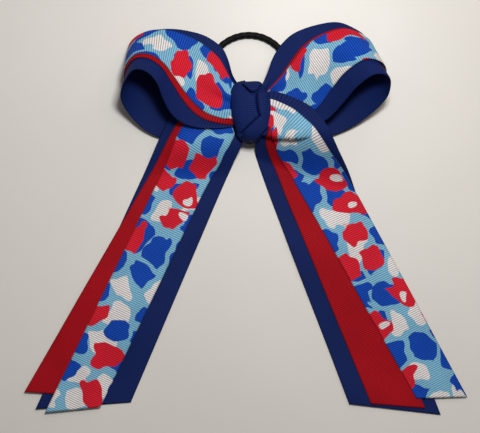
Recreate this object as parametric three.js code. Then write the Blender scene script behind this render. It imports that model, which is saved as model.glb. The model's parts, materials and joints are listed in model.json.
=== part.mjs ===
// A cheer hair bow: three stacked grosgrain ribbons tied as a bow round a hair elastic.
// Millimetres, +Z out of the bow's face, origin at the centre of the knot's flat back.
import * as THREE from "three";

// Driving dimensions.
const NAVY_WIDTH = 38.1; // 1 1/2 inch grosgrain
const RIBBON_THICKNESS = 0.5;
const GAP = 0.3; // clear space between neighbouring solids
const LAYER = RIBBON_THICKNESS + GAP;
const CORD_RADIUS = 1.5; // the 3 mm hair elastic
const RING_RADIUS = 19; // centre line of the elastic's free loop
const RING_CENTRE = { x: -0.5, y: 18 };
const KNOT = { halfWidth: 8.8, top: 14.5, bottom: -12.5, front: 16.4, wrap: 1.2 };
const KNOT_CORE = { halfWidth: 8, top: 13, bottom: -11, back: 4.8, front: 14.9, corner: 4.5 };
const BACK_BAND = { halfWidth: 7, thickness: 0.6 };
const PLATE_THICKNESS = 0.8; // the folds that show on the knot's face

// Strips of each ribbon across the widest one, from the loop's back edge, as shares of its width.
const LOOP_STRIPS = {
  navy: [0, 1],
  red: [8.6 / NAVY_WIDTH, 30.8 / NAVY_WIDTH],
  print: [6.4 / NAVY_WIDTH, 28.6 / NAVY_WIDTH],
};
const LAYER_OF = { navy: 0, red: 1, print: 2 };

const GROSGRAIN = { roughness: 0.75, metalness: 0 };
const MATERIALS = {
  navy: new THREE.MeshStandardMaterial({ color: 0x192a66, ...GROSGRAIN }),
  red: new THREE.MeshStandardMaterial({ color: 0xb81524, ...GROSGRAIN }),
  print: new THREE.MeshStandardMaterial({ color: 0x8cc6e0, ...GROSGRAIN }),
  elastic: new THREE.MeshStandardMaterial({ color: 0x141414, roughness: 0.85, metalness: 0 }),
};

const bow = new THREE.Group();
bow.name = "cheer_hair_bow";

function add(name, geometry, material) {
  const mesh = new THREE.Mesh(geometry, MATERIALS[material]);
  mesh.name = name;
  bow.add(mesh);
}

// ---- Ribbon strips ----

// A closed strip: pointAt(u, v, side) gives its under face (side 0) and its top face (side 1).
function stripGeometry(pointAt, along, across) {
  const positions = [];
  const rowLength = across + 1;
  const faceLength = (along + 1) * rowLength;
  for (const side of [0, 1]) {
    for (let i = 0; i <= along; i++) {
      for (let j = 0; j <= across; j++) positions.push(...pointAt(i / along, j / across, side));
    }
  }
  const at = (side, i, j) => side * faceLength + i * rowLength + j;
  const triangles = [];
  const quad = (a, b, c, d) => triangles.push(a, b, c, a, c, d);
  for (let i = 0; i < along; i++) {
    for (let j = 0; j < across; j++) {
      quad(at(1, i, j), at(1, i + 1, j), at(1, i + 1, j + 1), at(1, i, j + 1));
      quad(at(0, i, j), at(0, i, j + 1), at(0, i + 1, j + 1), at(0, i + 1, j));
    }
    quad(at(0, i, 0), at(0, i + 1, 0), at(1, i + 1, 0), at(1, i, 0));
    quad(at(0, i, across), at(1, i, across), at(1, i + 1, across), at(0, i + 1, across));
  }
  for (let j = 0; j < across; j++) {
    quad(at(0, 0, j), at(1, 0, j), at(1, 0, j + 1), at(0, 0, j + 1));
    quad(at(0, along, j), at(0, along, j + 1), at(1, along, j + 1), at(1, along, j));
  }
  if (signedVolume(positions, triangles) < 0) triangles.reverse();
  const geometry = new THREE.BufferGeometry();
  geometry.setAttribute("position", new THREE.Float32BufferAttribute(positions, 3));
  geometry.setIndex(triangles);
  geometry.computeVertexNormals();
  return geometry;
}

function signedVolume(positions, triangles) {
  const corner = (k) => new THREE.Vector3().fromArray(positions, 3 * triangles[k]);
  let volume = 0;
  for (let k = 0; k < triangles.length; k += 3) {
    volume += corner(k).dot(corner(k + 1).cross(corner(k + 2))) / 6;
  }
  return volume;
}

function splineThrough(points) {
  const vectors = points.map(([x, y, z = 0]) => new THREE.Vector3(x, y, z));
  return new THREE.CatmullRomCurve3(vectors, false, "catmullrom", 0.5);
}

// ---- Loops ----

// A loop is ruled between its back edge and its front edge, from the knot out over the top,
// round the far end and back underneath. Each line: back edge x, y, z, then front edge x, y, z,
// on the inside face of the innermost ribbon.
const LEFT_LOOP = [
  [-11.5, 17, 10.8, -13, -6, 10.8],
  [-12, 25, 10.8, -23, -6.5, 11.5],
  [-13.5, 30, 11, -31, -4.5, 13.5],
  [-20, 35, 11.3, -36, -0.5, 17.5],
  [-28.5, 37.5, 11.5, -39.5, 6, 22.5],
  [-37, 38.5, 10.5, -42, 12.5, 27],
  [-45, 38, 7.5, -46.5, 17, 30],
  [-51.5, 35.5, 4.5, -52, 17.5, 30.5],
  [-54.5, 32, 3, -56.5, 12, 25.5],
  [-51, 31, 2.8, -58.5, 6.5, 16.5],
  [-43, 29.5, 2.8, -56, 0.5, 9],
  [-34, 26, 3, -49, -7, 4],
  [-25, 21, 5.2, -40, -11, 3],
  [-17, 15, 6.7, -26, -11.5, 5.2],
  [-11.5, 8, 6.7, -12, -9, 6.7],
];
const RIGHT_LOOP = [
  [11.5, 17, 9.9, 14, -5, 9.9],
  [12, 24, 10.1, 25.5, -6.5, 11.2],
  [14.5, 30.5, 10.3, 35, -3, 14],
  [20, 36.5, 11, 42, 4, 18.5],
  [29.5, 40, 11.5, 48, 11, 23.5],
  [40, 41.5, 10.5, 55.5, 16, 27.5],
  [49, 38.5, 7, 61.5, 15, 27],
  [53, 35.5, 4, 63, 11, 20],
  [48, 36, 2.8, 61.5, 6, 13],
  [38, 33, 3, 55, -0.5, 7],
  [27, 27, 4.5, 45, -7, 3.2],
  [18.5, 19, 6.5, 34, -10.5, 4],
  [12.5, 12, 6.7, 21, -11, 6.2],
  [11.5, 8, 6.7, 12, -9, 6.7],
];
const LOOP_STEPS = 42;
const LOOP_STEPS_ACROSS = { navy: 3, red: 2, print: 2 };
const TANGENT_STEP = 0.004;

function loopStrip(rulings, ribbon, outward) {
  const back = splineThrough(rulings.map((line) => line.slice(0, 3)));
  const front = splineThrough(rulings.map((line) => line.slice(3)));
  const [from, to] = LOOP_STRIPS[ribbon];
  const onSurface = (u, share) => back.getPoint(u).lerp(front.getPoint(u), share);
  return (u, v, side) => {
    const share = from + (to - from) * v;
    const before = onSurface(Math.max(0, u - TANGENT_STEP), share);
    const after = onSurface(Math.min(1, u + TANGENT_STEP), share);
    const across = onSurface(u, 1).sub(onSurface(u, 0));
    const normal = after.sub(before).cross(across).normalize();
    const lift = outward * (LAYER_OF[ribbon] * LAYER + side * RIBBON_THICKNESS);
    return onSurface(u, share).addScaledVector(normal, lift).toArray();
  };
}

function addLoops() {
  const loops = [
    { side: "left", rulings: LEFT_LOOP, outward: 1 },
    { side: "right", rulings: RIGHT_LOOP, outward: -1 },
  ];
  for (const { side, rulings, outward } of loops) {
    for (const ribbon of Object.keys(LAYER_OF)) {
      const strip = loopStrip(rulings, ribbon, outward);
      add(`${side}_loop_${ribbon}`, stripGeometry(strip, LOOP_STEPS, LOOP_STEPS_ACROSS[ribbon]), ribbon);
    }
  }
}

// ---- Tails ----

const smoothstep = THREE.MathUtils.smoothstep;

// Height of the under face of the left tail: over the loop's lower half, then down to the table.
function leftDrape(x, y) {
  const overLoop = 3.5 + 3.8 * (1 - smoothstep(-x, 28, 44));
  return overLoop * smoothstep(y, -30, -12);
}

// The right tail leaves the knot over the loop's upper half, then falls to the table in front.
function rightDrape(x, y) {
  const overLoop = 12.6 + 0.17 * (x - 10);
  const touchdown = -22 - 0.35 * (x - 5);
  return overLoop * smoothstep(y, touchdown, -7);
}

// Each tail bends at its hinge line, where it lies flat: a point on the line and its direction.
const TAILS = {
  left: { hinge: [-30, -32], along: [0.907, -0.42], drape: leftDrape },
  right: { hinge: [30, -47], along: [0.91, 0.41], drape: rightDrape },
};

// Plan outline of each ribbon. root: pairs of edge points from the knot to the hinge line;
// atHinge: where the two edges cross that line; tip: the slanting cut end.
const OUTLINES = {
  left: {
    navy: {
      root: [[-10.2, 5, -10.2, -6.5], [-20, 7.5, -9.8, -9.5], [-29, 5.5, -9.2, -12.5],
        [-35.5, 1, -6, -15], [-39.5, -6, -7.5, -20]],
      atHinge: [-19.5, 16.5],
      tip: [-99.6, -136.6, -55.4, -133.6],
    },
    red: {
      root: [[-10.2, 4.5, -10.2, -4], [-19, 6.5, -10.5, -7], [-27, 4, -11, -10.5],
        [-33.5, -4.5, -13.5, -16]],
      atHinge: [-16.6, 5.6],
      tip: [-104.7, -128.6, -80.2, -130.2],
    },
    print: {
      root: [[-10.2, 4, -10.2, -5], [-18, 5, -10.3, -7.5], [-25, 2, -10.6, -10.5],
        [-30.5, -5, -12, -17]],
      atHinge: [-12, 9.3],
      tip: [-95, -138, -69.4, -135.6],
    },
  },
  right: {
    navy: {
      root: [[10.2, 10, 10.2, -7], [18.5, 7.4, 10, -10.5], [27.4, 2.8, 8.6, -14.2],
        [34, -4.7, 4.2, -20.7], [40, -16, 6, -29], [45.8, -27, 10, -40]],
      atHinge: [-16.2, 21.9],
      tip: [46.1, -134.2, 88.6, -139.3],
    },
    red: {
      root: [[10.2, 8.5, 10.2, -6], [17, 4.5, 10, -9], [24.5, 0.5, 9.8, -13],
        [30, -6.5, 10.4, -19.5], [35, -19, 13, -28.5], [38.5, -29.5, 17, -39]],
      atHinge: [-8.9, 13.3],
      tip: [56.1, -134.1, 81.3, -136.2],
    },
    print: {
      root: [[10.2, 6.5, 10.2, -5.5], [20, 0.8, 10.8, -9], [27, -4, 11.8, -13],
        [31.5, -10, 13.2, -17.5], [37.6, -17, 16.5, -23.5], [44, -26.2, 23, -35.5]],
      atHinge: [-0.2, 22.3],
      tip: [77.2, -131.6, 100.8, -130.8],
    },
  },
};
const ROOT_STEPS = 20;
const ROOT_STEPS_ACROSS = { navy: 8, red: 5, print: 5 };
const DRAPE_LOOSENESS = 0.45; // added to the layers' spacing away from the hinge line
const TAIL_STEPS = 2;

function hingePoint({ hinge, along }, distance) {
  return [hinge[0] + along[0] * distance, hinge[1] + along[1] * distance];
}

// The layers lie loosely on each other where they are draped, and closely where they lie flat.
function draped(leftEdge, rightEdge, ribbon, drape) {
  const layer = LAYER_OF[ribbon];
  return (u, v, side) => {
    const { x, y } = leftEdge.getPoint(u).lerp(rightEdge.getPoint(u), v);
    const looseness = DRAPE_LOOSENESS * smoothstep(1 - u, 0, 0.15);
    return [x, y, drape(x, y) + layer * (LAYER + looseness) + side * RIBBON_THICKNESS];
  };
}

function addTail(side, ribbon) {
  const tail = TAILS[side];
  const { root, atHinge, tip } = OUTLINES[side][ribbon];
  const outer = side === "left" ? atHinge[0] : atHinge[1];
  const inner = side === "left" ? atHinge[1] : atHinge[0];
  const outerEdge = splineThrough([...root.map((pair) => pair.slice(0, 2)), hingePoint(tail, outer)]);
  const innerEdge = splineThrough([...root.map((pair) => pair.slice(2)), hingePoint(tail, inner)]);
  const rootStrip = draped(outerEdge, innerEdge, ribbon, tail.drape);
  add(`${side}_root_${ribbon}`, stripGeometry(rootStrip, ROOT_STEPS, ROOT_STEPS_ACROSS[ribbon]), ribbon);

  const downTail = [tail.along[1], -tail.along[0]];
  const pastHinge = ([x, y]) => [x + downTail[0] * GAP, y + downTail[1] * GAP];
  const leftEdge = splineThrough([pastHinge(hingePoint(tail, atHinge[0])), tip.slice(0, 2)]);
  const rightEdge = splineThrough([pastHinge(hingePoint(tail, atHinge[1])), tip.slice(2)]);
  const underFace = LAYER_OF[ribbon] * LAYER;
  const flat = (u, v, face) => {
    const { x, y } = leftEdge.getPoint(u).lerp(rightEdge.getPoint(u), v);
    return [x, y, underFace + face * RIBBON_THICKNESS];
  };
  add(`${side}_tail_${ribbon}`, stripGeometry(flat, TAIL_STEPS, 1), ribbon);
}

// ---- Knot ----

function extrudeAcross(shape, halfWidth, curveSegments) {
  // The shape is drawn in (y, z) and extruded along X.
  const depth = 2 * halfWidth;
  const geometry = new THREE.ExtrudeGeometry(shape, { depth, bevelEnabled: false, curveSegments });
  const drawnToPlaced = new THREE.Matrix4().makeBasis(
    new THREE.Vector3(0, 1, 0),
    new THREE.Vector3(0, 0, 1),
    new THREE.Vector3(1, 0, 0),
  );
  return geometry.applyMatrix4(drawnToPlaced).translate(-halfWidth, 0, 0);
}

// The knot narrows from its flat top to its rounded bottom.
function taper(geometry) {
  const position = geometry.getAttribute("position");
  for (let i = 0; i < position.count; i++) {
    const share = 0.62 + 0.38 * smoothstep(position.getY(i), KNOT.bottom, 2);
    position.setX(i, position.getX(i) * share);
  }
  return geometry;
}

function roundedRectangle(low, high, bottom, top, radius) {
  const shape = new THREE.Shape();
  shape.moveTo(low + radius, bottom);
  shape.lineTo(high - radius, bottom);
  shape.absarc(high - radius, bottom + radius, radius, -Math.PI / 2, 0);
  shape.absarc(high - radius, top - radius, radius, 0, Math.PI / 2);
  shape.absarc(low + radius, top - radius, radius, Math.PI / 2, Math.PI);
  shape.absarc(low + radius, bottom + radius, radius, Math.PI, 1.5 * Math.PI);
  return shape;
}

// The ribbon turn that covers the knot's front, top and bottom: an arch open at the back.
function wrapShape() {
  const { top, bottom, front, wrap } = KNOT;
  const back = BACK_BAND.thickness + GAP;
  const radius = 6;
  const innerRadius = radius - wrap;
  const shape = new THREE.Shape();
  shape.moveTo(top, back);
  shape.lineTo(top, front - radius);
  shape.absarc(top - radius, front - radius, radius, 0, Math.PI / 2);
  shape.absarc(bottom + radius, front - radius, radius, Math.PI / 2, Math.PI);
  shape.lineTo(bottom, back);
  shape.lineTo(bottom + wrap, back);
  shape.lineTo(bottom + wrap, front - radius);
  shape.absarc(bottom + radius, front - radius, innerRadius, Math.PI, Math.PI / 2, true);
  shape.absarc(top - radius, front - radius, innerRadius, Math.PI / 2, 0, true);
  shape.lineTo(top - wrap, back);
  return shape;
}

function plate(points, back) {
  const shape = new THREE.Shape(points.map(([x, y]) => new THREE.Vector2(x, y)));
  const geometry = new THREE.ExtrudeGeometry(shape, { depth: PLATE_THICKNESS, bevelEnabled: false });
  return geometry.translate(0, 0, back);
}

function addKnot() {
  const { halfWidth, top, bottom, back, front, corner } = KNOT_CORE;
  const core = roundedRectangle(bottom, top, back, front, corner);
  add("knot_core", taper(extrudeAcross(core, halfWidth, 4)), "navy");
  add("knot_front_wrap", taper(extrudeAcross(wrapShape(), KNOT.halfWidth, 6)), "navy");
  const onFace = KNOT.front + GAP;
  const topFold = [[-2.5, 13.8], [7, 13.8], [7.6, 9], [2.8, 4.4]];
  add("knot_top_fold", plate(topFold, onFace), "navy");
  const diagonal = [[9.2, 2.2], [9.4, -3.5], [5.5, -9], [1.5, -12.2], [-3.5, -12], [-4.2, -9.4]];
  add("knot_diagonal_band", plate(diagonal, onFace), "navy");
  const band = roundedRectangle(-BACK_BAND.halfWidth, BACK_BAND.halfWidth, KNOT.bottom, KNOT.top, 4);
  const bandOptions = { depth: BACK_BAND.thickness, bevelEnabled: false, curveSegments: 4 };
  add("knot_back_band", new THREE.ExtrudeGeometry(band, bandOptions), "navy");
}

// ---- Hair elastic ----

const SPLICE_HALF_LENGTH = 3;
const ELASTIC_IN_KNOT = { y: -1, z: 3, end: 9.5 };
const ARC_END = 42; // degrees below level, where the free loop turns in to the knot
const ARC_POINTS = 14;

// The elastic runs straight through the knot's back; its free loop tilts down to the table.
function elasticPath() {
  const { y, z, end } = ELASTIC_IN_KNOT;
  const far = RING_CENTRE.y + RING_RADIUS;
  const height = (at) => z - (z - CORD_RADIUS) * ((at - y) / (far - y));
  const start = SPLICE_HALF_LENGTH + GAP;
  const points = [[start, y, z], [6.3, y, z], [end, y + 0.2, z]];
  for (let i = 0; i <= ARC_POINTS; i++) {
    const angle = THREE.MathUtils.degToRad(-ARC_END + ((180 + 2 * ARC_END) * i) / ARC_POINTS);
    const at = RING_CENTRE.y + RING_RADIUS * Math.sin(angle);
    points.push([RING_CENTRE.x + RING_RADIUS * Math.cos(angle), at, height(at)]);
  }
  points.push([-end, y + 0.2, z], [-6.3, y, z], [-start, y, z]);
  return splineThrough(points);
}

function addElastic() {
  const section = new THREE.Shape().absarc(0, 0, CORD_RADIUS, 0, 2 * Math.PI);
  const options = { steps: 44, curveSegments: 4, bevelEnabled: false, extrudePath: elasticPath() };
  add("hair_elastic", new THREE.ExtrudeGeometry(section, options), "elastic");
  const splice = new THREE.CylinderGeometry(CORD_RADIUS, CORD_RADIUS, 2 * SPLICE_HALF_LENGTH, 12);
  splice.rotateZ(Math.PI / 2).translate(0, ELASTIC_IN_KNOT.y, ELASTIC_IN_KNOT.z);
  add("elastic_splice", splice, "elastic");
}

addLoops();
for (const side of Object.keys(TAILS)) {
  for (const ribbon of Object.keys(LAYER_OF)) addTail(side, ribbon);
}
addKnot();
addElastic();

export default bow;
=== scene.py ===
"""A cheer hair bow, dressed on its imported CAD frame. Lengths are in millimetres until a mesh is made."""
import json
import math

import bmesh
import bpy
import numpy as np
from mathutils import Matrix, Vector


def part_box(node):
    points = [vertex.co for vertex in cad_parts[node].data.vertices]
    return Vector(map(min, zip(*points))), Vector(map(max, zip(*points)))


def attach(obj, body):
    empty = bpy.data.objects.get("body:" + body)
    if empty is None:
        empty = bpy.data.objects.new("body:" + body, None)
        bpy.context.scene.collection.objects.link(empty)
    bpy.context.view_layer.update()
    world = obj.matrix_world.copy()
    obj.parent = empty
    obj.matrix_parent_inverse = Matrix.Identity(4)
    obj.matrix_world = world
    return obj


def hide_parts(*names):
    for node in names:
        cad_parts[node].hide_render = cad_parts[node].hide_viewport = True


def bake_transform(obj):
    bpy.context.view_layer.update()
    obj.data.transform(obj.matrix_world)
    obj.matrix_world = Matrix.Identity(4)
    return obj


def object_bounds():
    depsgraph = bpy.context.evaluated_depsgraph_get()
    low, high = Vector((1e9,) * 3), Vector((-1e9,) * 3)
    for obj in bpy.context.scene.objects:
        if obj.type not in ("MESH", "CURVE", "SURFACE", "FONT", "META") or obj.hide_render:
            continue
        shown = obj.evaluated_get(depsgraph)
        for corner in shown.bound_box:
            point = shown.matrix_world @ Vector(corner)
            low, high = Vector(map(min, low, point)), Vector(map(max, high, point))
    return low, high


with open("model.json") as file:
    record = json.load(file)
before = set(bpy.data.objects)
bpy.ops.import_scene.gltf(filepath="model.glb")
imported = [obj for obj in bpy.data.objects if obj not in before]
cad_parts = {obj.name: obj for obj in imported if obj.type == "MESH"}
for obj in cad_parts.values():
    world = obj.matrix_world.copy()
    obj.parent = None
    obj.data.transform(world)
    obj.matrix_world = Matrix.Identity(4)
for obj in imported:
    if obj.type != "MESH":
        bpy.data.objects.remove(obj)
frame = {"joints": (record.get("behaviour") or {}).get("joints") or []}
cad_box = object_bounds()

MM = 0.001
JOINTS = {joint["name"]: joint for joint in frame["joints"]}
LAYERS = {"navy": 0, "red": 1, "print": 2}

# Ribbon, as woven.
NAVY_WIDTH = 38.1
NARROW_WIDTH = 22.2
WIDTHS = {"navy": NAVY_WIDTH, "red": NARROW_WIDTH, "print": NARROW_WIDTH}
THICKNESS = 0.34
EDGE_THICKNESS = 0.55  # the selvedge's share of the full thickness
RIB_PITCH = 0.95
RIB_HEIGHT = 0.07
EDGE_RIB_HEIGHT = 0.35  # the selvedge's share of the full height
ROWS_PER_RIB = 4
COLUMN_STEP = 1.1
SELVEDGE = 0.7

# Where on its roll each piece was cut, in ribs, so that no two pieces show the same print.
FIRST_RIBS = {"left tail": 0, "left loop": 170, "right loop": 390, "right tail": 610}
# From one ribbon's middle to the next one's, where they lie on each other.
LOOP_LAYER = 0.62
TAIL_LAYER = 0.6


# ---- Shapes ----

def smoothstep(low, high, value):
    t = np.clip((np.asarray(value, float) - low) / (high - low), 0, 1)
    return t * t * (3 - 2 * t)


def unit(vectors):
    return vectors / np.maximum(np.linalg.norm(vectors, axis=-1, keepdims=True), 1e-9)


def spline(points, u):
    """Uniform Catmull-Rom through the points, at u from 0 to 1."""
    points = np.asarray(points, float)
    last = len(points) - 1
    at = np.clip(np.asarray(u, float), 0, 1) * last
    i = np.minimum(at.astype(int), last - 1)
    t = (at - i)[:, None]
    p1, p2 = points[i], points[i + 1]
    p0 = np.where((i > 0)[:, None], points[np.maximum(i - 1, 0)], 2 * p1 - p2)
    p3 = np.where((i < last - 1)[:, None], points[np.minimum(i + 2, last)], 2 * p2 - p1)
    return 0.5 * (2 * p1 + (p2 - p0) * t + (2 * p0 - 5 * p1 + 4 * p2 - p3) * t**2
                  + (3 * p1 - p0 - 3 * p2 + p3) * t**3)


def woven_rows(rulings):
    """A ribbon's two edge points at evenly spaced rows, and how far along it each row lies.

    A ruling is a line across the ribbon: x, y, z of its one end, then of its other end.
    """
    u = np.linspace(0, 1, 1500)
    line = spline(rulings, u)
    middle = (line[:, :3] + line[:, 3:]) / 2
    lengths = np.concatenate([[0], np.cumsum(np.linalg.norm(np.diff(middle, axis=0), axis=1))])
    step = RIB_PITCH / ROWS_PER_RIB
    along = np.arange(int(lengths[-1] / step) + 1) * step
    return spline(rulings, np.interp(along, lengths, u)), along


def flat_rulings(pairs):
    """Rulings at height 0 from pairs of plan points."""
    pairs = np.asarray(pairs, float)
    zeros = np.zeros((len(pairs), 1))
    return np.hstack([pairs[:, :2], zeros, pairs[:, 2:], zeros])


def ruled_grid(line, share):
    """Points at these shares of the way across each row."""
    return line[:, None, :3] + (line[:, None, 3:] - line[:, None, :3]) * np.atleast_2d(share)[..., None]


def columns(width, step=COLUMN_STEP):
    """Places across a ribbon, closer together in its two selvedges."""
    edge = np.array([0, 0.12, 0.35, SELVEDGE])
    inner = np.linspace(SELVEDGE, width - SELVEDGE, max(4, round(width / step)))[1:-1]
    return np.concatenate([edge, inner, width - edge[::-1]])


def normals_of(grid):
    along = np.gradient(grid, axis=0)
    across = np.gradient(grid, axis=1)
    return unit(np.cross(along, across))


def upward_normals(grid):
    normal = normals_of(grid)
    return normal * np.sign(normal[..., 2:])


def link(name, verts, faces):
    mesh = bpy.data.meshes.new(name)
    mesh.from_pydata((np.asarray(verts) * MM).tolist(), [], faces)
    mesh.update()
    mesh.polygons.foreach_set("use_smooth", [True] * len(mesh.polygons))
    piece = bpy.data.objects.new(name, mesh)
    bpy.context.scene.collection.objects.link(piece)
    return piece


def mark(piece, name, values):
    """Stores a number or a vector at each point of a piece, for its material to read."""
    kind, field = ("FLOAT", "value") if values.ndim == 1 else ("FLOAT_VECTOR", "vector")
    attribute = piece.data.attributes.new(name, kind, "POINT")
    attribute.data.foreach_set(field, values.astype(np.float32).ravel())


def grid_faces(rows, cols, start=0):
    i, j = np.meshgrid(np.arange(rows - 1), np.arange(cols - 1), indexing="ij")
    a = (start + i * cols + j).ravel()
    return np.stack([a, a + cols, a + cols + 1, a + 1], axis=1)


def tube_faces(rows, sides):
    """Faces of a tube of rings, closed at both ends."""
    i, j = np.meshgrid(np.arange(rows - 1), np.arange(sides), indexing="ij")
    a, b = i * sides + j, i * sides + (j + 1) % sides
    quads = np.stack([a, b, b + sides, a + sides], axis=-1).reshape(-1, 4)
    caps = [list(range(sides))[::-1], list(range((rows - 1) * sides, rows * sides))]
    return quads.tolist() + caps


def slab_faces(rows, cols):
    """Faces of two grids, one after the other, joined round their rims."""
    count = rows * cols
    left = np.arange(rows) * cols
    right = left + cols - 1
    first = np.arange(cols)
    last = first + (rows - 1) * cols
    rims = []
    for line, flip in ((left, True), (right, False), (first, False), (last, True)):
        quads = np.stack([line[:-1], line[1:], line[1:] + count, line[:-1] + count], axis=1)
        rims.append(quads[:, ::-1] if flip else quads)
    return np.concatenate([grid_faces(rows, cols), grid_faces(rows, cols, count)[:, ::-1], *rims])


def signed_volume(verts, faces):
    a, b, c, d = (verts[faces[:, k]] for k in range(4))
    return np.einsum("ij,ij->", a, np.cross(b, c) + np.cross(c, d)) / 6


def woven_strip(name, middle, normal, across, along, first_rib=0):
    """A closed ribbon about a middle surface: ribs on both faces and thin woven edges."""
    rows, cols = middle.shape[:2]
    edge = np.minimum(across, across[-1] - across)
    rib = 0.5 + 0.5 * np.cos(2 * np.pi * along / RIB_PITCH)
    body = smoothstep(0.1, SELVEDGE, edge)
    fullness = EDGE_THICKNESS + (1 - EDGE_THICKNESS) * smoothstep(-0.05, 0.3, edge)
    rib_height = RIB_HEIGHT * rib[:, None] * (EDGE_RIB_HEIGHT + (1 - EDGE_RIB_HEIGHT) * body[None, :])
    height = THICKNESS / 2 * fullness[None, :] + rib_height
    top = middle + normal * height[..., None]
    under = middle - normal * height[..., None]
    verts = np.concatenate([top.reshape(-1, 3), under.reshape(-1, 3)])
    faces = slab_faces(rows, cols)
    if signed_volume(verts, faces) < 0:
        faces = faces[:, ::-1]
    piece = link(name, verts, faces.tolist())
    on_roll, place = np.meshgrid(along + first_rib * RIB_PITCH, across, indexing="ij")
    coords = np.stack([place, on_roll, np.broadcast_to(edge, place.shape)], axis=-1).reshape(-1, 3)
    mark(piece, "ribbon", np.concatenate([coords, coords]))
    mark(piece, "face", np.repeat([1.0, 0.0], rows * cols))
    return piece


# ---- Materials ----

class Nodes:
    """Short ways to add the shader nodes used here."""

    def __init__(self, tree):
        self.tree = tree

    def add(self, kind, **settings):
        node = self.tree.nodes.new(kind)
        for key, value in settings.items():
            setattr(node, key, value)
        return node

    def join(self, source, target):
        self.tree.links.new(source, target)

    def feed(self, socket, value):
        if isinstance(value, bpy.types.NodeSocket):
            self.join(value, socket)
        else:
            socket.default_value = value

    def math(self, operation, *values):
        node = self.add("ShaderNodeMath", operation=operation)
        for socket, value in zip(node.inputs, values):
            self.feed(socket, value)
        return node.outputs[0]

    def ramp(self, value, low, high, to_low=0.0, to_high=1.0):
        node = self.add("ShaderNodeMapRange", interpolation_type="SMOOTHSTEP")
        for socket, number in zip(node.inputs, (value, low, high, to_low, to_high)):
            self.feed(socket, number)
        return node.outputs[0]

    def mix(self, share, a, b, blend="MIX"):
        node = self.add("ShaderNodeMix", data_type="RGBA", blend_type=blend)
        self.feed(node.inputs[0], share)
        self.feed(node.inputs[6], a)
        self.feed(node.inputs[7], b)
        return node.outputs[2]

    def darken(self, colour, shade):
        return self.mix(1.0, colour, self.vector(shade, shade, shade), "MULTIPLY")

    def noise(self, vector, scale, detail):
        node = self.add("ShaderNodeTexNoise")
        self.join(vector, node.inputs["Vector"])
        node.inputs["Scale"].default_value = scale
        node.inputs["Detail"].default_value = detail
        return node

    def vector(self, x, y, z=0.0):
        node = self.add("ShaderNodeCombineXYZ")
        for socket, value in zip(node.inputs, (x, y, z)):
            self.feed(socket, value)
        return node.outputs[0]

    def attribute(self, name):
        return self.add("ShaderNodeAttribute", attribute_name=name)


def new_material(name, roughness, specular=0.1):
    material = bpy.data.materials.new(name)
    material.use_nodes = True
    shader = material.node_tree.nodes["Principled BSDF"]
    shader.inputs["Roughness"].default_value = roughness
    shader.inputs["Specular IOR Level"].default_value = specular
    return material, Nodes(material.node_tree), shader


def ribbon_coordinates(n):
    """Across, along and distance from the edge, in millimetres."""
    parts = n.add("ShaderNodeSeparateXYZ")
    n.join(n.attribute("ribbon").outputs["Vector"], parts.inputs[0])
    return parts.outputs[0], parts.outputs[1], parts.outputs[2]


NOISE_SPAN = (0.3, 0.7)  # between these a noise goes from its one effect to the other
CREST = (-1.0, 0.55)  # a rib's cosine where the painted shade between the ribs is darkest, and from where its crest is left unshaded
YARN_GRAIN = (5.0, 0.8)  # yarns to a millimetre across the ribbon and along it
YARN_TONE = (0.86, 1.1)
CLOTH_TONE = (0.93, 1.05)
CLOTH_TONE_SCALE = 0.06
YARN_ROUGHNESS = (0.62, 0.82)
YARN_RELIEF = 0.05
YARN_RELIEF_STRENGTH = 0.35
SELVEDGE_SHADE = 0.72
SELVEDGE_SHADE_WIDTH = 0.25  # fully dark up to here, and plain from the selvedge's inner side
MELTED = (0.35, 0.75)  # the cut end is darkest up to the first distance and plain from the second
MELTED_SHADE = 0.45


def painted_rib_shade(n, colour, along, valley_shade):
    """The colour with painted shade: darker in the valleys between the ribs."""
    # Painted shade: the colour is darkened in the valleys between the ribs and kept full on their crests.
    wave = n.math("COSINE", n.math("MULTIPLY", along, 2 * math.pi / RIB_PITCH))
    painted_valley = n.mix(1.0, colour, (valley_shade, valley_shade, valley_shade, 1), "MULTIPLY")
    return n.mix(n.ramp(wave, *CREST), painted_valley, colour)


def edge_shade(n, edge):
    """Darker selvedges, and a dark line where a cut end has been melted."""
    rim = n.ramp(edge, SELVEDGE_SHADE_WIDTH, SELVEDGE, SELVEDGE_SHADE, 1.0)
    inward = n.attribute("inward").outputs["Fac"]
    melted = n.math("MULTIPLY", n.math("GREATER_THAN", inward, 0.0), n.ramp(inward, *MELTED, 1.0, 0.0))
    return n.math("MULTIPLY", rim, n.math("SUBTRACT", 1.0, n.math("MULTIPLY", melted, MELTED_SHADE)))


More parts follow.
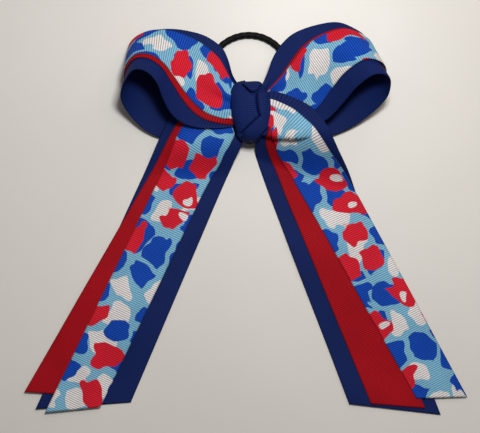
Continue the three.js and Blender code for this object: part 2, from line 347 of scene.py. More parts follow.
def weave(n, shader, colour, place, valley_shade):
    """Grosgrain over a base colour: ribs with painted shade in the valleys between them, the grain of the
    yarn, uneven tone and woven edges.
    """
    across, along, edge = place
    strands = n.vector(n.math("MULTIPLY", across, YARN_GRAIN[0]), n.math("MULTIPLY", along, YARN_GRAIN[1]))
    yarn = n.noise(strands, 1.0, 3.0).outputs["Fac"]
    slow = n.noise(n.vector(across, along), CLOTH_TONE_SCALE, 2.0).outputs["Fac"]
    tone = n.math("MULTIPLY", n.ramp(yarn, *NOISE_SPAN, *YARN_TONE), n.ramp(slow, *NOISE_SPAN, *CLOTH_TONE))
    # Random tone of the yarn and the cloth, laid over the painted shade in the valleys between the ribs.
    toned_with_painted_shade = n.darken(painted_rib_shade(n, colour, along, valley_shade), tone)
    n.join(n.darken(toned_with_painted_shade, edge_shade(n, edge)), shader.inputs["Base Color"])
    n.join(n.ramp(yarn, *NOISE_SPAN, *YARN_ROUGHNESS), shader.inputs["Roughness"])
    bump = n.add("ShaderNodeBump")
    bump.inputs["Strength"].default_value = YARN_RELIEF_STRENGTH
    bump.inputs["Distance"].default_value = YARN_RELIEF * MM
    n.join(yarn, bump.inputs["Height"])
    n.join(bump.outputs[0], shader.inputs["Normal"])


PLAIN_VALLEY_SHADE = 0.5  # how bright the painted shade leaves the valleys between the ribs
# the same painted shade in the valleys between the ribs, on the printed ribbon
PRINT_VALLEY_SHADE = 0.42


def plain_grosgrain(name, colour):
    material, n, shader = new_material(name, 0.72)
    weave(n, shader, colour, ribbon_coordinates(n), PLAIN_VALLEY_SHADE)
    return material


PRINT_COLOURS = {
    "ground": (0.24, 0.55, 0.80, 1),
    "white": (0.88, 0.86, 0.89, 1),
    "blue": (0.006, 0.075, 0.54, 1),
    "red": (0.78, 0.016, 0.04, 1),
}
UNPRINTED = (0.72, 0.76, 0.82, 1)
UNPRINTED_SHARE = 0.82  # how little of the print shows through to the back
# The patches are cells of a noise pattern. Each cell has a number from 0 to 1: the larger it is,
# the larger the patch. Radii are shares of the spacing of the cells.
UNDER_PATCHES = {"offset": (31.0, 7.0, 0), "spacing": 13.5, "smallest": 0.46, "largest": 0.76}
OVER_PATCHES = {"offset": (77.0, 15.0, 0), "spacing": 14.5, "smallest": 0.42, "largest": 0.60}
UNDER_WHITE_BELOW = 0.33  # by the cell's number: white below this one, blue above it
OVER_SHOWN_ABOVE = 0.4
OVER_BLUE_BELOW = 0.6  # blue below this one, red above it
FLOWER_ABOVE = 0.9  # the red patches with a white centre
WHITE_CENTRE = 0.15
CELL_RANDOMNESS = 0.75
BLOB_WARP = 2.6
BLOB_WARP_SCALE = 0.15
BLOB_LOBE_SCALE = 0.2
BLOB_LOBES = 0.6  # this one and the next three are shares of the spacing
BLOB_GAP = 0.15
BLOB_ROUNDING = 0.34
BLOB_EDGE = 0.03


def warped(n, place, offset):
    """The place moved by an offset, before and after it is pushed about by a slow noise."""
    moved = n.add("ShaderNodeVectorMath", operation="ADD")
    n.join(place, moved.inputs[0])
    moved.inputs[1].default_value = offset
    wave = n.noise(moved.outputs[0], BLOB_WARP_SCALE, 0.0)
    shift = n.add("ShaderNodeVectorMath", operation="MULTIPLY_ADD")
    n.join(wave.outputs["Color"], shift.inputs[0])
    shift.inputs[1].default_value = (BLOB_WARP * 2, BLOB_WARP * 2, 0)
    n.join(moved.outputs[0], shift.inputs[2])
    return moved.outputs[0], shift.outputs[0]


def cells(n, place, spacing, feature):
    node = n.add("ShaderNodeTexVoronoi", voronoi_dimensions="2D", feature=feature)
    n.join(place, node.inputs["Vector"])
    node.inputs["Scale"].default_value = 1 / spacing
    node.inputs["Randomness"].default_value = CELL_RANDOMNESS
    return node


def patches(n, place, offset, spacing, smallest, largest):
    """Rounded, lobed patches: where they are, their cells' numbers, and distance from their centres."""
    moved, pushed = warped(n, place, offset)
    nearest = cells(n, pushed, spacing, "F1")
    second = cells(n, pushed, spacing, "F2")
    numbers = n.add("ShaderNodeSeparateXYZ")
    n.join(nearest.outputs["Color"], numbers.inputs[0])
    number = numbers.outputs[0]
    distance = nearest.outputs["Distance"]
    bulges = n.noise(moved, BLOB_LOBE_SCALE, 0.0).outputs["Fac"]
    lobes = n.math("MULTIPLY", n.math("SUBTRACT", bulges, 0.5), BLOB_LOBES)
    radius = n.ramp(number, 0.0, 1.0, smallest, largest)
    inside = n.math("ADD", n.math("SUBTRACT", radius, distance), lobes)
    gap = n.math("SUBTRACT", n.math("SUBTRACT", second.outputs["Distance"], distance), BLOB_GAP)
    height = n.math("SMOOTH_MIN", inside, gap, BLOB_ROUNDING)
    return n.ramp(height, 0.0, BLOB_EDGE), number, distance


def above(n, value, limit):
    return n.math("GREATER_THAN", value, limit)


def printed_grosgrain(name):
    """A light ribbon printed with patches in three colours; the print barely shows on its back."""
    material, n, shader = new_material(name, 0.7)
    across, along, edge = ribbon_coordinates(n)
    place = n.vector(across, along)
    under, under_number, _ = patches(n, place, **UNDER_PATCHES)
    over, over_number, distance = patches(n, place, **OVER_PATCHES)
    white, blue, red = (PRINT_COLOURS[key] for key in ("white", "blue", "red"))
    under_colour = n.mix(above(n, under_number, UNDER_WHITE_BELOW), white, blue)
    colour = n.mix(under, PRINT_COLOURS["ground"], under_colour)
    over_colour = n.mix(above(n, over_number, OVER_BLUE_BELOW), blue, red)
    shown = n.math("MULTIPLY", over, above(n, over_number, OVER_SHOWN_ABOVE))
    colour = n.mix(shown, colour, over_colour)
    in_centre = n.ramp(distance, WHITE_CENTRE, WHITE_CENTRE - BLOB_EDGE)
    colour = n.mix(n.math("MULTIPLY", in_centre, above(n, over_number, FLOWER_ABOVE)), colour, white)
    back = n.mix(UNPRINTED_SHARE, colour, UNPRINTED)
    face = n.attribute("face").outputs["Fac"]
    weave(n, shader, n.mix(face, back, colour), (across, along, edge), PRINT_VALLEY_SHADE)
    return material


MATERIALS = {
    "navy": plain_grosgrain("navy grosgrain", (0.0065, 0.020, 0.130, 1)),
    "red": plain_grosgrain("red grosgrain", (0.43, 0.004, 0.012, 1)),
    "print": printed_grosgrain("printed grosgrain"),
}


def dress(piece, ribbon):
    piece.data.materials.append(MATERIALS[ribbon])


# ---- Loops ----

# Each line: back edge x, y, z, then front edge x, y, z, on the inside of the navy ribbon.
LOOP_RULINGS = {
    "left": [
        (-4, 11, 10.5, -4, -5, 10.5),
        (-7.8, 17, 10.8, -11.5, -6.6, 10.8),
        (-10, 24.2, 10.8, -23, -6.7, 11.5),
        (-13, 30, 11, -31, -4.5, 13.5),
        (-20, 35, 11.3, -36, -0.5, 17.5),
        (-28.5, 37.5, 11.5, -39.5, 6, 22.5),
        (-37, 38.5, 10.5, -42, 12.5, 27),
        (-45, 38, 7.5, -46.5, 17, 30),
        (-51.5, 35.5, 4.5, -52, 17.5, 30.5),
        (-54.5, 32, 3, -56.5, 12, 25.5),
        (-51, 31, 2.8, -58.5, 6.5, 16.5),
        (-43, 29.5, 2.8, -56, 0.5, 9),
        (-34, 26, 3, -49, -7, 4),
        (-25, 21, 5.2, -40, -11, 3),
        (-17, 15, 6.7, -26, -11.5, 5.2),
        (-10.5, 7.5, 6.7, -11, -8.5, 6.7),
        (-5, 5, 7, -5, -5, 7),
    ],
    "right": [
        (4, 10, 9.8, 5, -3, 9.8),
        (7.6, 18, 9.9, 12, -5, 9.9),
        (10.3, 25.3, 10.1, 25.5, -6.5, 11.2),
        (14, 31.2, 10.3, 35, -3, 14),
        (20, 36.5, 11, 42, 4, 18.5),
        (29.5, 40, 11.5, 48, 11, 23.5),
        (40, 41.5, 10.5, 55.5, 16, 27.5),
        (49, 38.5, 7, 61.5, 15, 27),
        (53, 35.5, 4, 63, 11, 20),
        (48, 36, 2.8, 61.5, 6, 13),
        (38, 33, 3, 55, -0.5, 7),
        (27, 27, 4.5, 45, -7, 3.2),
        (18.5, 19, 6.5, 34, -10.5, 4),
        (12.5, 12, 6.7, 21, -11, 6.2),
        (10.5, 7.5, 6.7, 11, -8.5, 6.7),
        (5, 5, 7, 5, -5, 7),
    ],
}
# Where each ribbon lies across the navy one, from its back edge, at even steps along a loop
# from its top end at the knot, round its bulge, to its lower end.
LOOP_STRIPS = {
    "left": {
        "navy": [(0, NAVY_WIDTH), (0, NAVY_WIDTH)],
        "red": [(7.5, 37.5), (7.4, 30), (4.6, 27), (4.2, 26.4), (5, 27.2), (6.4, 28.6)],
        "print": [(4, 33.5), (4.4, 27), (1.6, 24), (1.2, 23.4), (2.5, 24.7), (3.4, 25.6)],
    },
    "right": {
        "navy": [(0, NAVY_WIDTH), (0, NAVY_WIDTH)],
        "red": [(12, 35), (8, 30), (5.1, 27.3), (5.2, 27.4), (5.2, 27.4), (5.2, 27.4)],
        "print": [(13, 36.5), (9, 31.2), (6.2, 28.4), (6.4, 28.6), (6.4, 28.6), (6.4, 28.6)],
    },
}
OUTWARD = {"left": 1, "right": -1}  # the sign that turns a loop's grid normals away from its inside
PLEAT_PHASE = {"left": 0.1, "right": 0.35}
GATHER_START = 4  # distances from the knot between which the gathers fade out
GATHER_REACH = 26
GATHER_HEIGHT = 0.8
PLEATS = 2.6  # across the navy ribbon
SMALL_PLEATS = 4.3


def gathers(share, along, length, phase):
    """Soft pleats that grow towards the knot at both ends of a loop."""
    to_knot = np.minimum(along, length - along)
    size = GATHER_HEIGHT * (1 - smoothstep(GATHER_START, GATHER_REACH, to_knot))
    folds = np.cos(2 * np.pi * (PLEATS * share + phase))
    small_folds = 0.5 * np.cos(2 * np.pi * (SMALL_PLEATS * share + 2 * phase))
    return size[:, None] * (folds + small_folds)


def make_loop(side, ribbon):
    line, along = woven_rows(LOOP_RULINGS[side])
    width = WIDTHS[ribbon]
    across = columns(width)
    strip = spline(LOOP_STRIPS[side][ribbon], along / along[-1])
    share = (strip[:, :1] + (strip[:, 1:] - strip[:, :1]) * across / width) / NAVY_WIDTH
    grid = ruled_grid(line, share)
    normal = OUTWARD[side] * normals_of(grid)
    pleats = gathers(share, along, along[-1], PLEAT_PHASE[side])
    lift = THICKNESS / 2 + LAYERS[ribbon] * LOOP_LAYER + pleats
    piece = woven_strip(f"{side}_{ribbon}_loop", grid + normal * lift[..., None], normal, across, along,
                        FIRST_RIBS[side + " loop"])
    dress(piece, ribbon)
    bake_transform(piece)
    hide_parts(f"{side}_loop_{ribbon}")


# ---- Tails ----

# Plan outlines. root: pairs of outer and inner edge points from the knot to the hinge line;
# at_hinge: where the left and right edges cross it; tip: the two ends of the slanting cut.
OUTLINES = {
    "left": {
        "navy": {
            "root": [(-5, 3, -4, -4), (-10.2, 5, -4.4, -8.5), (-20, 7.5, -3.4, -11), (-29, 5.5, -3.6, -13.6),
                     (-35.5, 1, -4.7, -16.2), (-39.5, -6, -7, -20.8)],
            "at_hinge": (-19.5, 16.5),
            "tip": (-99.6, -136.6, -55.4, -133.6),
        },
        "red": {
            "root": [(-5, 2.5, -5, -3.5), (-10.2, 4.5, -9.6, -4), (-19, 6.5, -9.8, -7),
                     (-27, 4, -10.6, -10.5), (-33.5, -4.5, -13.5, -16)],
            "at_hinge": (-16.6, 5.6),
            "tip": (-104.7, -128.6, -80.2, -130.2),
        },
        "print": {
            "root": [(-5, 2.5, -5, -3.5), (-10.2, 4, -8.6, -5), (-18, 5, -7.6, -7.5), (-25, 2, -7.4, -10.5),
                     (-30.5, -5, -11, -17)],
            "at_hinge": (-12, 9.3),
            "tip": (-95, -138, -69.4, -135.6),
        },
    },
    "right": {
        "navy": {
            "root": [(5, 8, 5, -5), (10.2, 10, 5, -9), (18.5, 7.4, 3.2, -11.5), (27.4, 2.8, 2.4, -15),
                     (34, -4.7, 3.2, -20.7), (40, -16, 6, -29), (45.8, -27, 10, -40)],
            "at_hinge": (-16.2, 21.9),
            "tip": (46.1, -134.2, 88.6, -139.3),
        },
        "red": {
            "root": [(5, 3.5, 5, -4.5), (9.7, 4.7, 8.6, -6), (17.5, 0.8, 7.4, -9.5), (23, -4, 7.4, -13.5),
                     (28, -10, 9.4, -19.5), (33.6, -20, 13, -28.5), (38.5, -29.5, 17, -39)],
            "at_hinge": (-8.9, 13.3),
            "tip": (56.1, -134.1, 81.3, -136.2),
        },
        "print": {
            "root": [(5, 5.5, 5, -4), (9.7, 6.3, 9, -5.5), (18.8, 2.2, 10.2, -8.5), (25, -2.8, 11.6, -13),
                     (30.6, -8.3, 13.2, -17.5), (37, -17, 16.5, -23.5), (44, -26.2, 23, -35.5)],
            "at_hinge": (-0.2, 22.3),
            "tip": (77.2, -131.6, 100.8, -130.8),
        },
    },
}
TAIL_STATIONS = (0.12, 0.35, 0.62, 1.0)
TAIL_COLUMN_STEP = {"navy": 1.0, "red": 0.6, "print": 0.6}
PAST_TIP = 1  # spare length that the slanting cut takes off
RIPPLE_HEIGHT = 0.9


def left_drape(x, y):
    """The left tails come down off their loop, which is lower further out from the knot."""
    outer_height, inner_rise = 3.5, 3.8
    on_loop = outer_height + inner_rise * (1 - smoothstep(28, 44, -x))
    return on_loop * smoothstep(-30, -12, y)


def right_drape(x, y):
    """The right tails lie over their loop and reach the table along a slanting line."""
    on_loop = 12.6 + 0.17 * (x - 10)
    leaves_loop = -7
    touchdown = -22 - 0.35 * (x - 5)
    return on_loop * smoothstep(0, 1, (y - touchdown) / (leaves_loop - touchdown))


DRAPES = {"left": left_drape, "right": right_drape}


def ripple(x, y):
    """Slow waves that keep a lying ribbon from being dead flat."""
    lying = smoothstep(-44, -62, y)
    return lying * (0.55 + 0.45 * np.sin(y / 11.0 + x / 23.0)) * RIPPLE_HEIGHT


# The right tails turn down in a soft fold just beside the knot: the upper part laps over the lower.
FLAP_START, FLAP_END, FLAP_FADE = 6.0, 29.0, 9.0
FLAP_Y = -9.0
FLAP_SLOPE = 0.06
FLAP_RISE = 2.4
FLAP_DIP = 0.4  # the cloth below sinks by this share of the rise
FLAP_LAP = 1.6


def fold_over(grid):
    """Raises a lip along the flap's edge and pulls it down over the cloth below."""
    x, y = grid[..., 0], grid[..., 1]
    upward = y - FLAP_Y + FLAP_SLOPE * (x - FLAP_START)
    begins = smoothstep(FLAP_START - 3, FLAP_START, x)
    size = begins * (1 - smoothstep(FLAP_END - FLAP_FADE, FLAP_END, x))
    lip = smoothstep(-0.4, 0.3, upward) * (1 - smoothstep(1.0, 13.0, upward))
    dip = FLAP_DIP * smoothstep(-5, -0.4, upward) * (upward < 0.3)
    grid[..., 2] += FLAP_RISE * size * (lip - dip)
    grid[..., 1] -= FLAP_LAP * size * lip


def hinge_line(side):
    """Middle of the hinge line, its direction from left to right, and the way down the tail."""
    joint = JOINTS[f"{side}_tail_navy_lift"]
    middle = np.array(joint["pos_m"][:2]) / MM
    along = -np.array(joint["axis"][:2])
    down = np.array([along[1], -along[0]])
    return middle, along, down


def tail_plan(side, ribbon):
    """Left and right edge points from the knot past the tip, and the tip's two points."""
    middle, along, _ = hinge_line(side)
    outline = OUTLINES[side][ribbon]
    root = np.array(outline["root"], float)
    if side == "right":
        root = root[:, [2, 3, 0, 1]]
    left, right = (middle + along * distance for distance in outline["at_hinge"])
    tip = np.array(outline["tip"], float)
    tip_left, tip_right = tip[:2], tip[2:]
    way = unit((tip_left + tip_right) / 2 - (left + right) / 2)
    reach = max(tip_left @ way, tip_right @ way) + PAST_TIP
    end_left = tip_left + (tip_left - left) / ((tip_left - left) @ way) * (reach - tip_left @ way)
    end_right = tip_right + (tip_right - right) / ((tip_right - right) @ way) * (reach - tip_right @ way)
    pairs = [np.concatenate([left, right])]
    for share in TAIL_STATIONS:
        pairs.append(np.concatenate([left + (end_left - left) * share, right + (end_right - right) * share]))
    return np.concatenate([root, pairs]), tip


def make_tail(side, ribbon):
    plan, tip = tail_plan(side, ribbon)
    line, along = woven_rows(flat_rulings(plan))
    width = WIDTHS[ribbon]
    across = columns(width, TAIL_COLUMN_STEP[ribbon])
    grid = ruled_grid(line, across / width)
    x, y = grid[..., 0], grid[..., 1]
    grid[..., 2] = DRAPES[side](x, y) + ripple(x, y)
    if side == "right":
        fold_over(grid)
    normal = upward_normals(grid)
    lift = THICKNESS / 2 + RIB_HEIGHT + LAYERS[ribbon] * TAIL_LAYER
    piece = woven_strip(f"{side}_{ribbon}_tail", grid + normal * lift, normal, across, along,
                        FIRST_RIBS[side + " tail"])
    cut_end(piece, tip)
    seal_end(piece, tip)
    dress(piece, ribbon)
    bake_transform(piece)
    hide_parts(f"{side}_root_{ribbon}", f"{side}_tail_{ribbon}")


def away_from_cut(tip):
    """Direction square to a tail's slanting cut, pointing off the ribbon."""
    away = unit(np.array([tip[1] - tip[3], tip[2] - tip[0], 0.0]))
    return -away if away[1] > 0 else away


def cut_end(piece, tip):
    """Cuts the ribbon along the line between the tip's two points, and closes the cut."""
    shape = bmesh.new()
    shape.from_mesh(piece.data)
    geometry = [*shape.verts, *shape.edges, *shape.faces]
    point = np.append(tip[:2], 0) * MM
    cut = bmesh.ops.bisect_plane(shape, geom=geometry, plane_co=point, plane_no=away_from_cut(tip),
                                 clear_outer=True)
    rim = [edge for edge in cut["geom_cut"] if isinstance(edge, bmesh.types.BMEdge)]
    bmesh.ops.edgeloop_fill(shape, edges=rim)
    bmesh.ops.recalc_face_normals(shape, faces=shape.faces)
    shape.to_mesh(piece.data)
    shape.free()


def seal_end(piece, tip):
    """Marks how far each point is from the cut, where heat has melted the yarns together."""
    places = np.array([vertex.co for vertex in piece.data.vertices]) / MM
    mark(piece, "inward", (np.append(tip[:2], 0) - places) @ away_from_cut(tip))


# ---- Knot ----

KNOT_LOW, KNOT_HIGH = (np.array(corner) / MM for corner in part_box("knot_front_wrap"))
KNOT_CENTRE = (KNOT_LOW + KNOT_HIGH) / 2
KNOT_HALF = (KNOT_HIGH - KNOT_LOW) / 2
SQUARENESS = 2.6  # 2 is an ellipse; more is squarer
WRAP_LEFT, WRAP_RIGHT = 8.8, 8.6  # the wrap's half widths at its middle
DOME_DROP = 2.6  # how much lower the knot's two sides are than its middle


def knot_ring(angle):
    """A point of the rounded square round the knot's centre in the YZ plane; angle 0 is its top."""
    c, s = np.cos(angle), np.sin(angle)
    power = 2 / SQUARENESS
    y = np.sign(c) * np.abs(c) ** power * KNOT_HALF[1]
    z = np.sign(s) * np.abs(s) ** power * KNOT_HALF[2]
    return KNOT_CENTRE[1] + y, KNOT_CENTRE[2] + z


# Creases pressed into the knot's front, under the edges of the turns that lie on it.
KNOT_CREASES = [
    [(9, 2.4), (-4.2, -10.2)],
    [(-4, 13.6), (1.2, 9)],
    [(5.6, 13.6), (1.6, 9)],
    [(3.2, 8.8), (3.1, 5), (3.8, 0.5), (5.6, -3.5)],
]
CREASE_DEPTH = 1.5
CREASE_WIDTH = 0.75


def crease_depth(x, y):
    """How deep the knot's front is creased at a place."""
    nearest = np.full(x.shape, np.inf)
    for line in KNOT_CREASES:
        for (x0, y0), (x1, y1) in zip(line[:-1], line[1:]):
            dx, dy = x1 - x0, y1 - y0
            t = np.clip(((x - x0) * dx + (y - y0) * dy) / (dx * dx + dy * dy), 0, 1)
            nearest = np.minimum(nearest, np.hypot(x - x0 - t * dx, y - y0 - t * dy))
    return CREASE_DEPTH * np.exp(-(nearest / CREASE_WIDTH) ** 2)


WRAP_FROM, WRAP_TO, WRAP_STATIONS = -80, 265, 15  # degrees round the knot
WRAP_WIDTH = NAVY_WIDTH / 2
WRAP_COLUMN_STEP = 0.35
WRAP_PLEATS = 2.2
WRAP_PLEAT_START = 0.1
WRAP_PLEAT_HEIGHT = 0.54


def wrap_rulings():
    """The wrap's two edges round the knot, closer together at its top and its bottom."""
    rulings = []
    for angle in np.linspace(math.radians(WRAP_FROM), math.radians(WRAP_TO), WRAP_STATIONS):
        y, z = knot_ring(angle)
        to_bottom = smoothstep(3, -12, y)
        left = -WRAP_LEFT + 2.6 * to_bottom
        right = WRAP_RIGHT - 3.2 * to_bottom - 1.6 * smoothstep(6, 10, y)
        rulings.append((left, y, z, right, y, z))
    return rulings


def make_wrap():
    """The ribbon turn over the knot's face, pleated and narrowing to the bottom."""
    line, along = woven_rows(wrap_rulings())
    across = columns(WRAP_WIDTH, WRAP_COLUMN_STEP)
    share = across / across[-1]
    grid = ruled_grid(line, share)
    normal = normals_of(grid)
    pleats = WRAP_PLEAT_HEIGHT * np.mod(share * WRAP_PLEATS + WRAP_PLEAT_START, 1.0) ** 2
    dome = -DOME_DROP * (2 * share - 1) ** 4
    front = smoothstep(KNOT_CENTRE[2], KNOT_CENTRE[2] + 2, grid[..., 2])
    lift = dome + pleats - front * crease_depth(grid[..., 0], grid[..., 1])
    piece = woven_strip("knot_wrap", grid + normal * lift[..., None], normal, across, along)
    dress(piece, "navy")
    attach(piece, "knot")
    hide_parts("knot_front_wrap", "knot_back_band")


# Turns lying on the knot's front: the lines of their ribs, as pairs of end points.
CORNER_FOLD = [(-4, 13.6, 5.6, 13.6), (-2.8, 12.6, 4.6, 12.6), (-1, 11, 3.4, 11), (0.8, 9.2, 1.8, 9.2)]
RIGHT_TURN = [(4, 10.4, 6, 10.6), (3.2, 8.8, 8.2, 8.8), (3.2, 5, 9.2, 4.4), (3.9, 0.5, 9.5, -0.5),
              (5.6, -3.5, 9, -4)]
DIAGONAL_TURN = [(9, 2.4, -4.2, -10.2), (9.6, 0.4, -4, -11.8), (9.9, -1.8, -2.6, -13.3),
                 (9.6, -4.4, 0.4, -13.9), (8.4, -7.2, 3.2, -12.8)]
TURN_COLUMN_STEP = 0.5
TURN_MARGIN = 0.6  # the turns may reach this far past the knot's top and bottom
TURN_DEPTH = 0.8  # how far a tucked edge sinks into the knot
TURN_LIFT = 1.4
TUCK_SHARE = 0.16


def knot_front(x, y):
    """Height of the knot's front face at a place."""
    up = np.clip(np.abs((y - KNOT_CENTRE[1]) / (KNOT_HALF[1] + TURN_MARGIN)), 0, 1)
    crown = KNOT_HALF[2] * (1 - up**SQUARENESS) ** (1 / SQUARENESS)
    return KNOT_CENTRE[2] + crown - DOME_DROP * np.abs(x / WRAP_LEFT) ** 4


def make_turn(name, ribs, width, rise, tucked, replaced=()):
    """A turn of ribbon on the knot's face, sinking into the knot at its tucked edges."""
    line, along = woven_rows(flat_rulings(ribs))
    across = columns(width, TURN_COLUMN_STEP)
    share = across / across[-1]
    grid = ruled_grid(line, share)
    u = (along / along[-1])[:, None]
    v = share[None, :]
    edges = {"first rib": u, "last rib": 1 - u, "start of ribs": v, "end of ribs": 1 - v}
    showing = 1.0
    for edge in tucked:
        showing = showing * smoothstep(0, TUCK_SHARE, edges[edge])
    crown = 1 - (2 * v - 1) ** 4
    grid[..., 2] = knot_front(grid[..., 0], grid[..., 1]) - TURN_DEPTH + showing * (TURN_LIFT + rise * crown)
    piece = woven_strip(name, grid, upward_normals(grid), across, along)
    dress(piece, "navy")
    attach(piece, "knot")
    if replaced:
        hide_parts(*replaced)


CORE_RINGS, CORE_SIDES = 40, 64
CORE_HALF_LENGTH = 8.2
CORE_INSET_Y, CORE_INSET_Z = 2.2, 2.6  # how far inside the wrap it stays
CORE_RISE = 0.6
CORE_PLEATS, CORE_PLEAT_DEPTH, CORE_TWIST = 9, 0.035, 1.3
CORE_RADIUS = 9.0


def make_core():
    """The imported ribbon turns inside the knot, which the loops and tails come out of."""
    lengthwise = np.linspace(-1, 1, CORE_RINGS)[:, None]
    angle = np.linspace(0, 2 * np.pi, CORE_SIDES, endpoint=False)[None, :]
    taper = np.sqrt(np.clip(1 - np.abs(lengthwise) ** 4, 0.02, 1))
    pleat = 1 + CORE_PLEAT_DEPTH * np.cos(CORE_PLEATS * angle + CORE_TWIST * lengthwise)
    y = (KNOT_HALF[1] - CORE_INSET_Y) * np.cos(angle) * taper * pleat + KNOT_CENTRE[1]
    z = (KNOT_HALF[2] - CORE_INSET_Z) * np.sin(angle) * taper * pleat + KNOT_CENTRE[2] + CORE_RISE
    x = np.broadcast_to(lengthwise * CORE_HALF_LENGTH, y.shape)
    verts = np.stack([x, y, z], axis=-1).reshape(-1, 3)
    piece = link("knot_inner_turns", verts, tube_faces(CORE_RINGS, CORE_SIDES))
    around = np.broadcast_to(angle * CORE_RADIUS, y.shape)
    off_edge = np.full(y.shape, 3.0)
    mark(piece, "ribbon", np.stack([x + 12, around, off_edge], axis=-1).reshape(-1, 3))
    dress(piece, "navy")
    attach(piece, "knot")
    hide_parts("knot_core")


# ---- Hair elastic ----

CORD_RADIUS = 1.5
RING_RADIUS = 19
RING_CENTRE = (-0.5, 18)
SPLICE_HALF_LENGTH = 3
CORD_START = SPLICE_HALF_LENGTH + 0.3
STRAIGHT_END = 6.3
ELASTIC_Y, ELASTIC_Z, ELASTIC_END = -1, 3, 9.5
BOW_OUT = 0.2  # how far the cord has turned towards its loop where it leaves the knot
ARC_END = 42  # degrees below the ring's widest points
ARC_POINTS = 14
CORD_ROWS = 520
SPLICE_ROWS = 30
TUBE_SIDES = 32
BRAID_PITCH = 3.2
BRAID_STRANDS = 8
BRAID_HEIGHT = 0.1


def elastic_route():
    """Straight through the knot's back, then the free loop, tilting down to the table."""
    far = RING_CENTRE[1] + RING_RADIUS
    points = [(CORD_START, ELASTIC_Y, ELASTIC_Z), (STRAIGHT_END, ELASTIC_Y, ELASTIC_Z),
              (ELASTIC_END, ELASTIC_Y + BOW_OUT, ELASTIC_Z)]
    for i in range(ARC_POINTS + 1):
        angle = math.radians(-ARC_END + (180 + 2 * ARC_END) * i / ARC_POINTS)
        y = RING_CENTRE[1] + RING_RADIUS * math.sin(angle)
        z = ELASTIC_Z - (ELASTIC_Z - CORD_RADIUS) * (y - ELASTIC_Y) / (far - ELASTIC_Y)
        points.append((RING_CENTRE[0] + RING_RADIUS * math.cos(angle), y, z))
    points += [(-ELASTIC_END, ELASTIC_Y + BOW_OUT, ELASTIC_Z), (-STRAIGHT_END, ELASTIC_Y, ELASTIC_Z),
               (-CORD_START, ELASTIC_Y, ELASTIC_Z)]
    return np.array(points)


def braided_tube(name, path):
    """A closed tube along a path, with two sets of crossing strands raised on its surface."""
    lengths = np.concatenate([[0], np.cumsum(np.linalg.norm(np.diff(path, axis=0), axis=1))])
    forward = unit(np.gradient(path, axis=0))
    side = unit(np.cross(forward, [0, 0, 1.0]))
    up = np.cross(side, forward)
    angle = np.linspace(0, 2 * np.pi, TUBE_SIDES, endpoint=False)
    turn = 2 * np.pi * lengths[:, None] / BRAID_PITCH / 4
    one = np.cos(BRAID_STRANDS / 2 * (angle[None, :] + turn))
    other = np.cos(BRAID_STRANDS / 2 * (angle[None, :] - turn))
    radius = CORD_RADIUS + BRAID_HEIGHT * (np.maximum(one, other) - 1)
    around = side[:, None] * np.cos(angle)[None, :, None] + up[:, None] * np.sin(angle)[None, :, None]
    verts = (path[:, None] + around * radius[..., None]).reshape(-1, 3)
    return link(name, verts, tube_faces(len(path), TUBE_SIDES)), lengths[-1]


def elastic_material():
    material, n, shader = new_material("black braided elastic", 0.62)
    place = n.add("ShaderNodeTexCoord").outputs["Object"]
    fibre = n.noise(place, 2600.0, 3.0).outputs["Fac"]
    colour = n.mix(n.ramp(fibre, *NOISE_SPAN), (0.002, 0.002, 0.002, 1), (0.008, 0.008, 0.009, 1))
    n.join(colour, shader.inputs["Base Color"])
    n.join(n.ramp(fibre, *NOISE_SPAN, 0.5, 0.8), shader.inputs["Roughness"])
    return material


def make_elastic():
    path = spline(elastic_route(), np.linspace(0, 1, CORD_ROWS))
    piece, length = braided_tube("hair_tie_cord", path)
    material = elastic_material()
    splice_path = np.linspace((-SPLICE_HALF_LENGTH, ELASTIC_Y, ELASTIC_Z),
                              (SPLICE_HALF_LENGTH, ELASTIC_Y, ELASTIC_Z), SPLICE_ROWS)
    splice, _ = braided_tube("hair_tie_joint", splice_path)
    for part, node in ((piece, "hair_elastic"), (splice, "elastic_splice")):
        part.data.materials.append(material)
        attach(part, "hair_elastic")
        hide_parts(node)


# ---- Setting, in metres except the camera's view ----

FLOOR_SIZE = 4
FLOOR_GAP = 0.0001
BOARD_TONES = ((0.69, 0.68, 0.665, 1), (0.72, 0.71, 0.695, 1))
ROOM_COLOUR = (1.0, 0.95, 0.87, 1)
ROOM_STRENGTH = 0.12
LAMPS = {
    "key": {"place": (0.045, 0.11, 0.45), "size": 0.08, "power": 1.6, "colour": (1.0, 0.98, 0.95)},
    "fill": {"place": (0.3, 0.5, 0.6), "size": 0.6, "power": 1.7, "colour": (1.0, 0.86, 0.68)},
}
LAMP_TARGET = (0, -0.05, 0)
VIEW_CENTRE = (-4.65, -47.2)
VIEW_HEIGHT = 650
VIEW_WIDTH = 223.2
SENSOR = 36


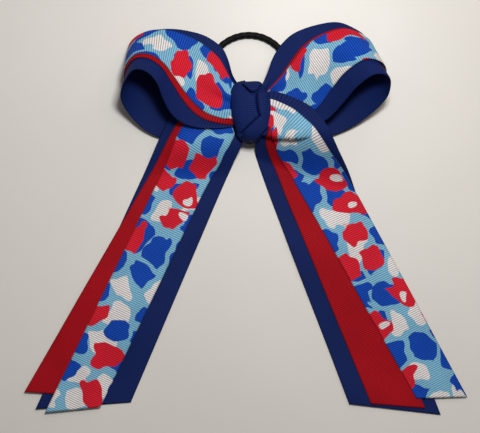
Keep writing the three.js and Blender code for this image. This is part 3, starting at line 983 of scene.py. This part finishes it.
def make_floor():
    lowest = cad_box[0][2]
    bpy.ops.mesh.primitive_plane_add(size=FLOOR_SIZE, location=(0, 0, lowest - FLOOR_GAP))
    floor = bpy.context.object
    floor.name = "floor"
    material, n, shader = new_material("pale board", 0.4, specular=0.4)
    grain = n.noise(n.add("ShaderNodeTexCoord").outputs["Object"], 9.0, 3.0).outputs["Fac"]
    n.join(n.mix(n.ramp(grain, *NOISE_SPAN), *BOARD_TONES), shader.inputs["Base Color"])
    floor.data.materials.append(material)


def make_room():
    world = bpy.data.worlds.new("room")
    bpy.context.scene.world = world
    world.use_nodes = True
    background = world.node_tree.nodes["Background"]
    background.inputs["Color"].default_value = ROOM_COLOUR
    background.inputs["Strength"].default_value = ROOM_STRENGTH


def make_lamp(name, place, size, power, colour):
    light = bpy.data.lights.new(name, "AREA")
    light.size = size
    light.energy = power
    light.color = colour
    lamp = bpy.data.objects.new(name, light)
    lamp.location = place
    lamp.rotation_mode = "QUATERNION"
    lamp.rotation_quaternion = (Vector(LAMP_TARGET) - Vector(place)).to_track_quat("-Z", "Y")
    bpy.context.scene.collection.objects.link(lamp)


def make_camera():
    """Straight above the bow, looking down."""
    lens = bpy.data.cameras.new("camera")
    lens.sensor_width = SENSOR
    lens.lens = SENSOR * VIEW_HEIGHT / VIEW_WIDTH
    camera = bpy.data.objects.new("camera", lens)
    camera.location = (VIEW_CENTRE[0] * MM, VIEW_CENTRE[1] * MM, VIEW_HEIGHT * MM)
    bpy.context.scene.collection.objects.link(camera)
    bpy.context.scene.camera = camera
    bpy.context.scene.view_settings.view_transform = "Standard"


make_floor()
make_room()
for lamp_name, lamp_values in LAMPS.items():
    make_lamp(lamp_name, **lamp_values)
make_camera()

make_elastic()
for ribbon_name in LAYERS:
    make_loop("left", ribbon_name)
    make_loop("right", ribbon_name)
    make_tail("left", ribbon_name)
    make_tail("right", ribbon_name)
make_core()
make_wrap()
make_turn("knot_corner_fold", CORNER_FOLD, 10.5, 0.5, ["first rib", "last rib"], ["knot_top_fold"])
make_turn("knot_right_turn", RIGHT_TURN, 12, 1.1, ["first rib", "last rib"])
make_turn("knot_diagonal_turn", DIAGONAL_TURN, 17, 1.4, ["last rib", "start of ribs", "end of ribs"],
          ["knot_diagonal_band"])
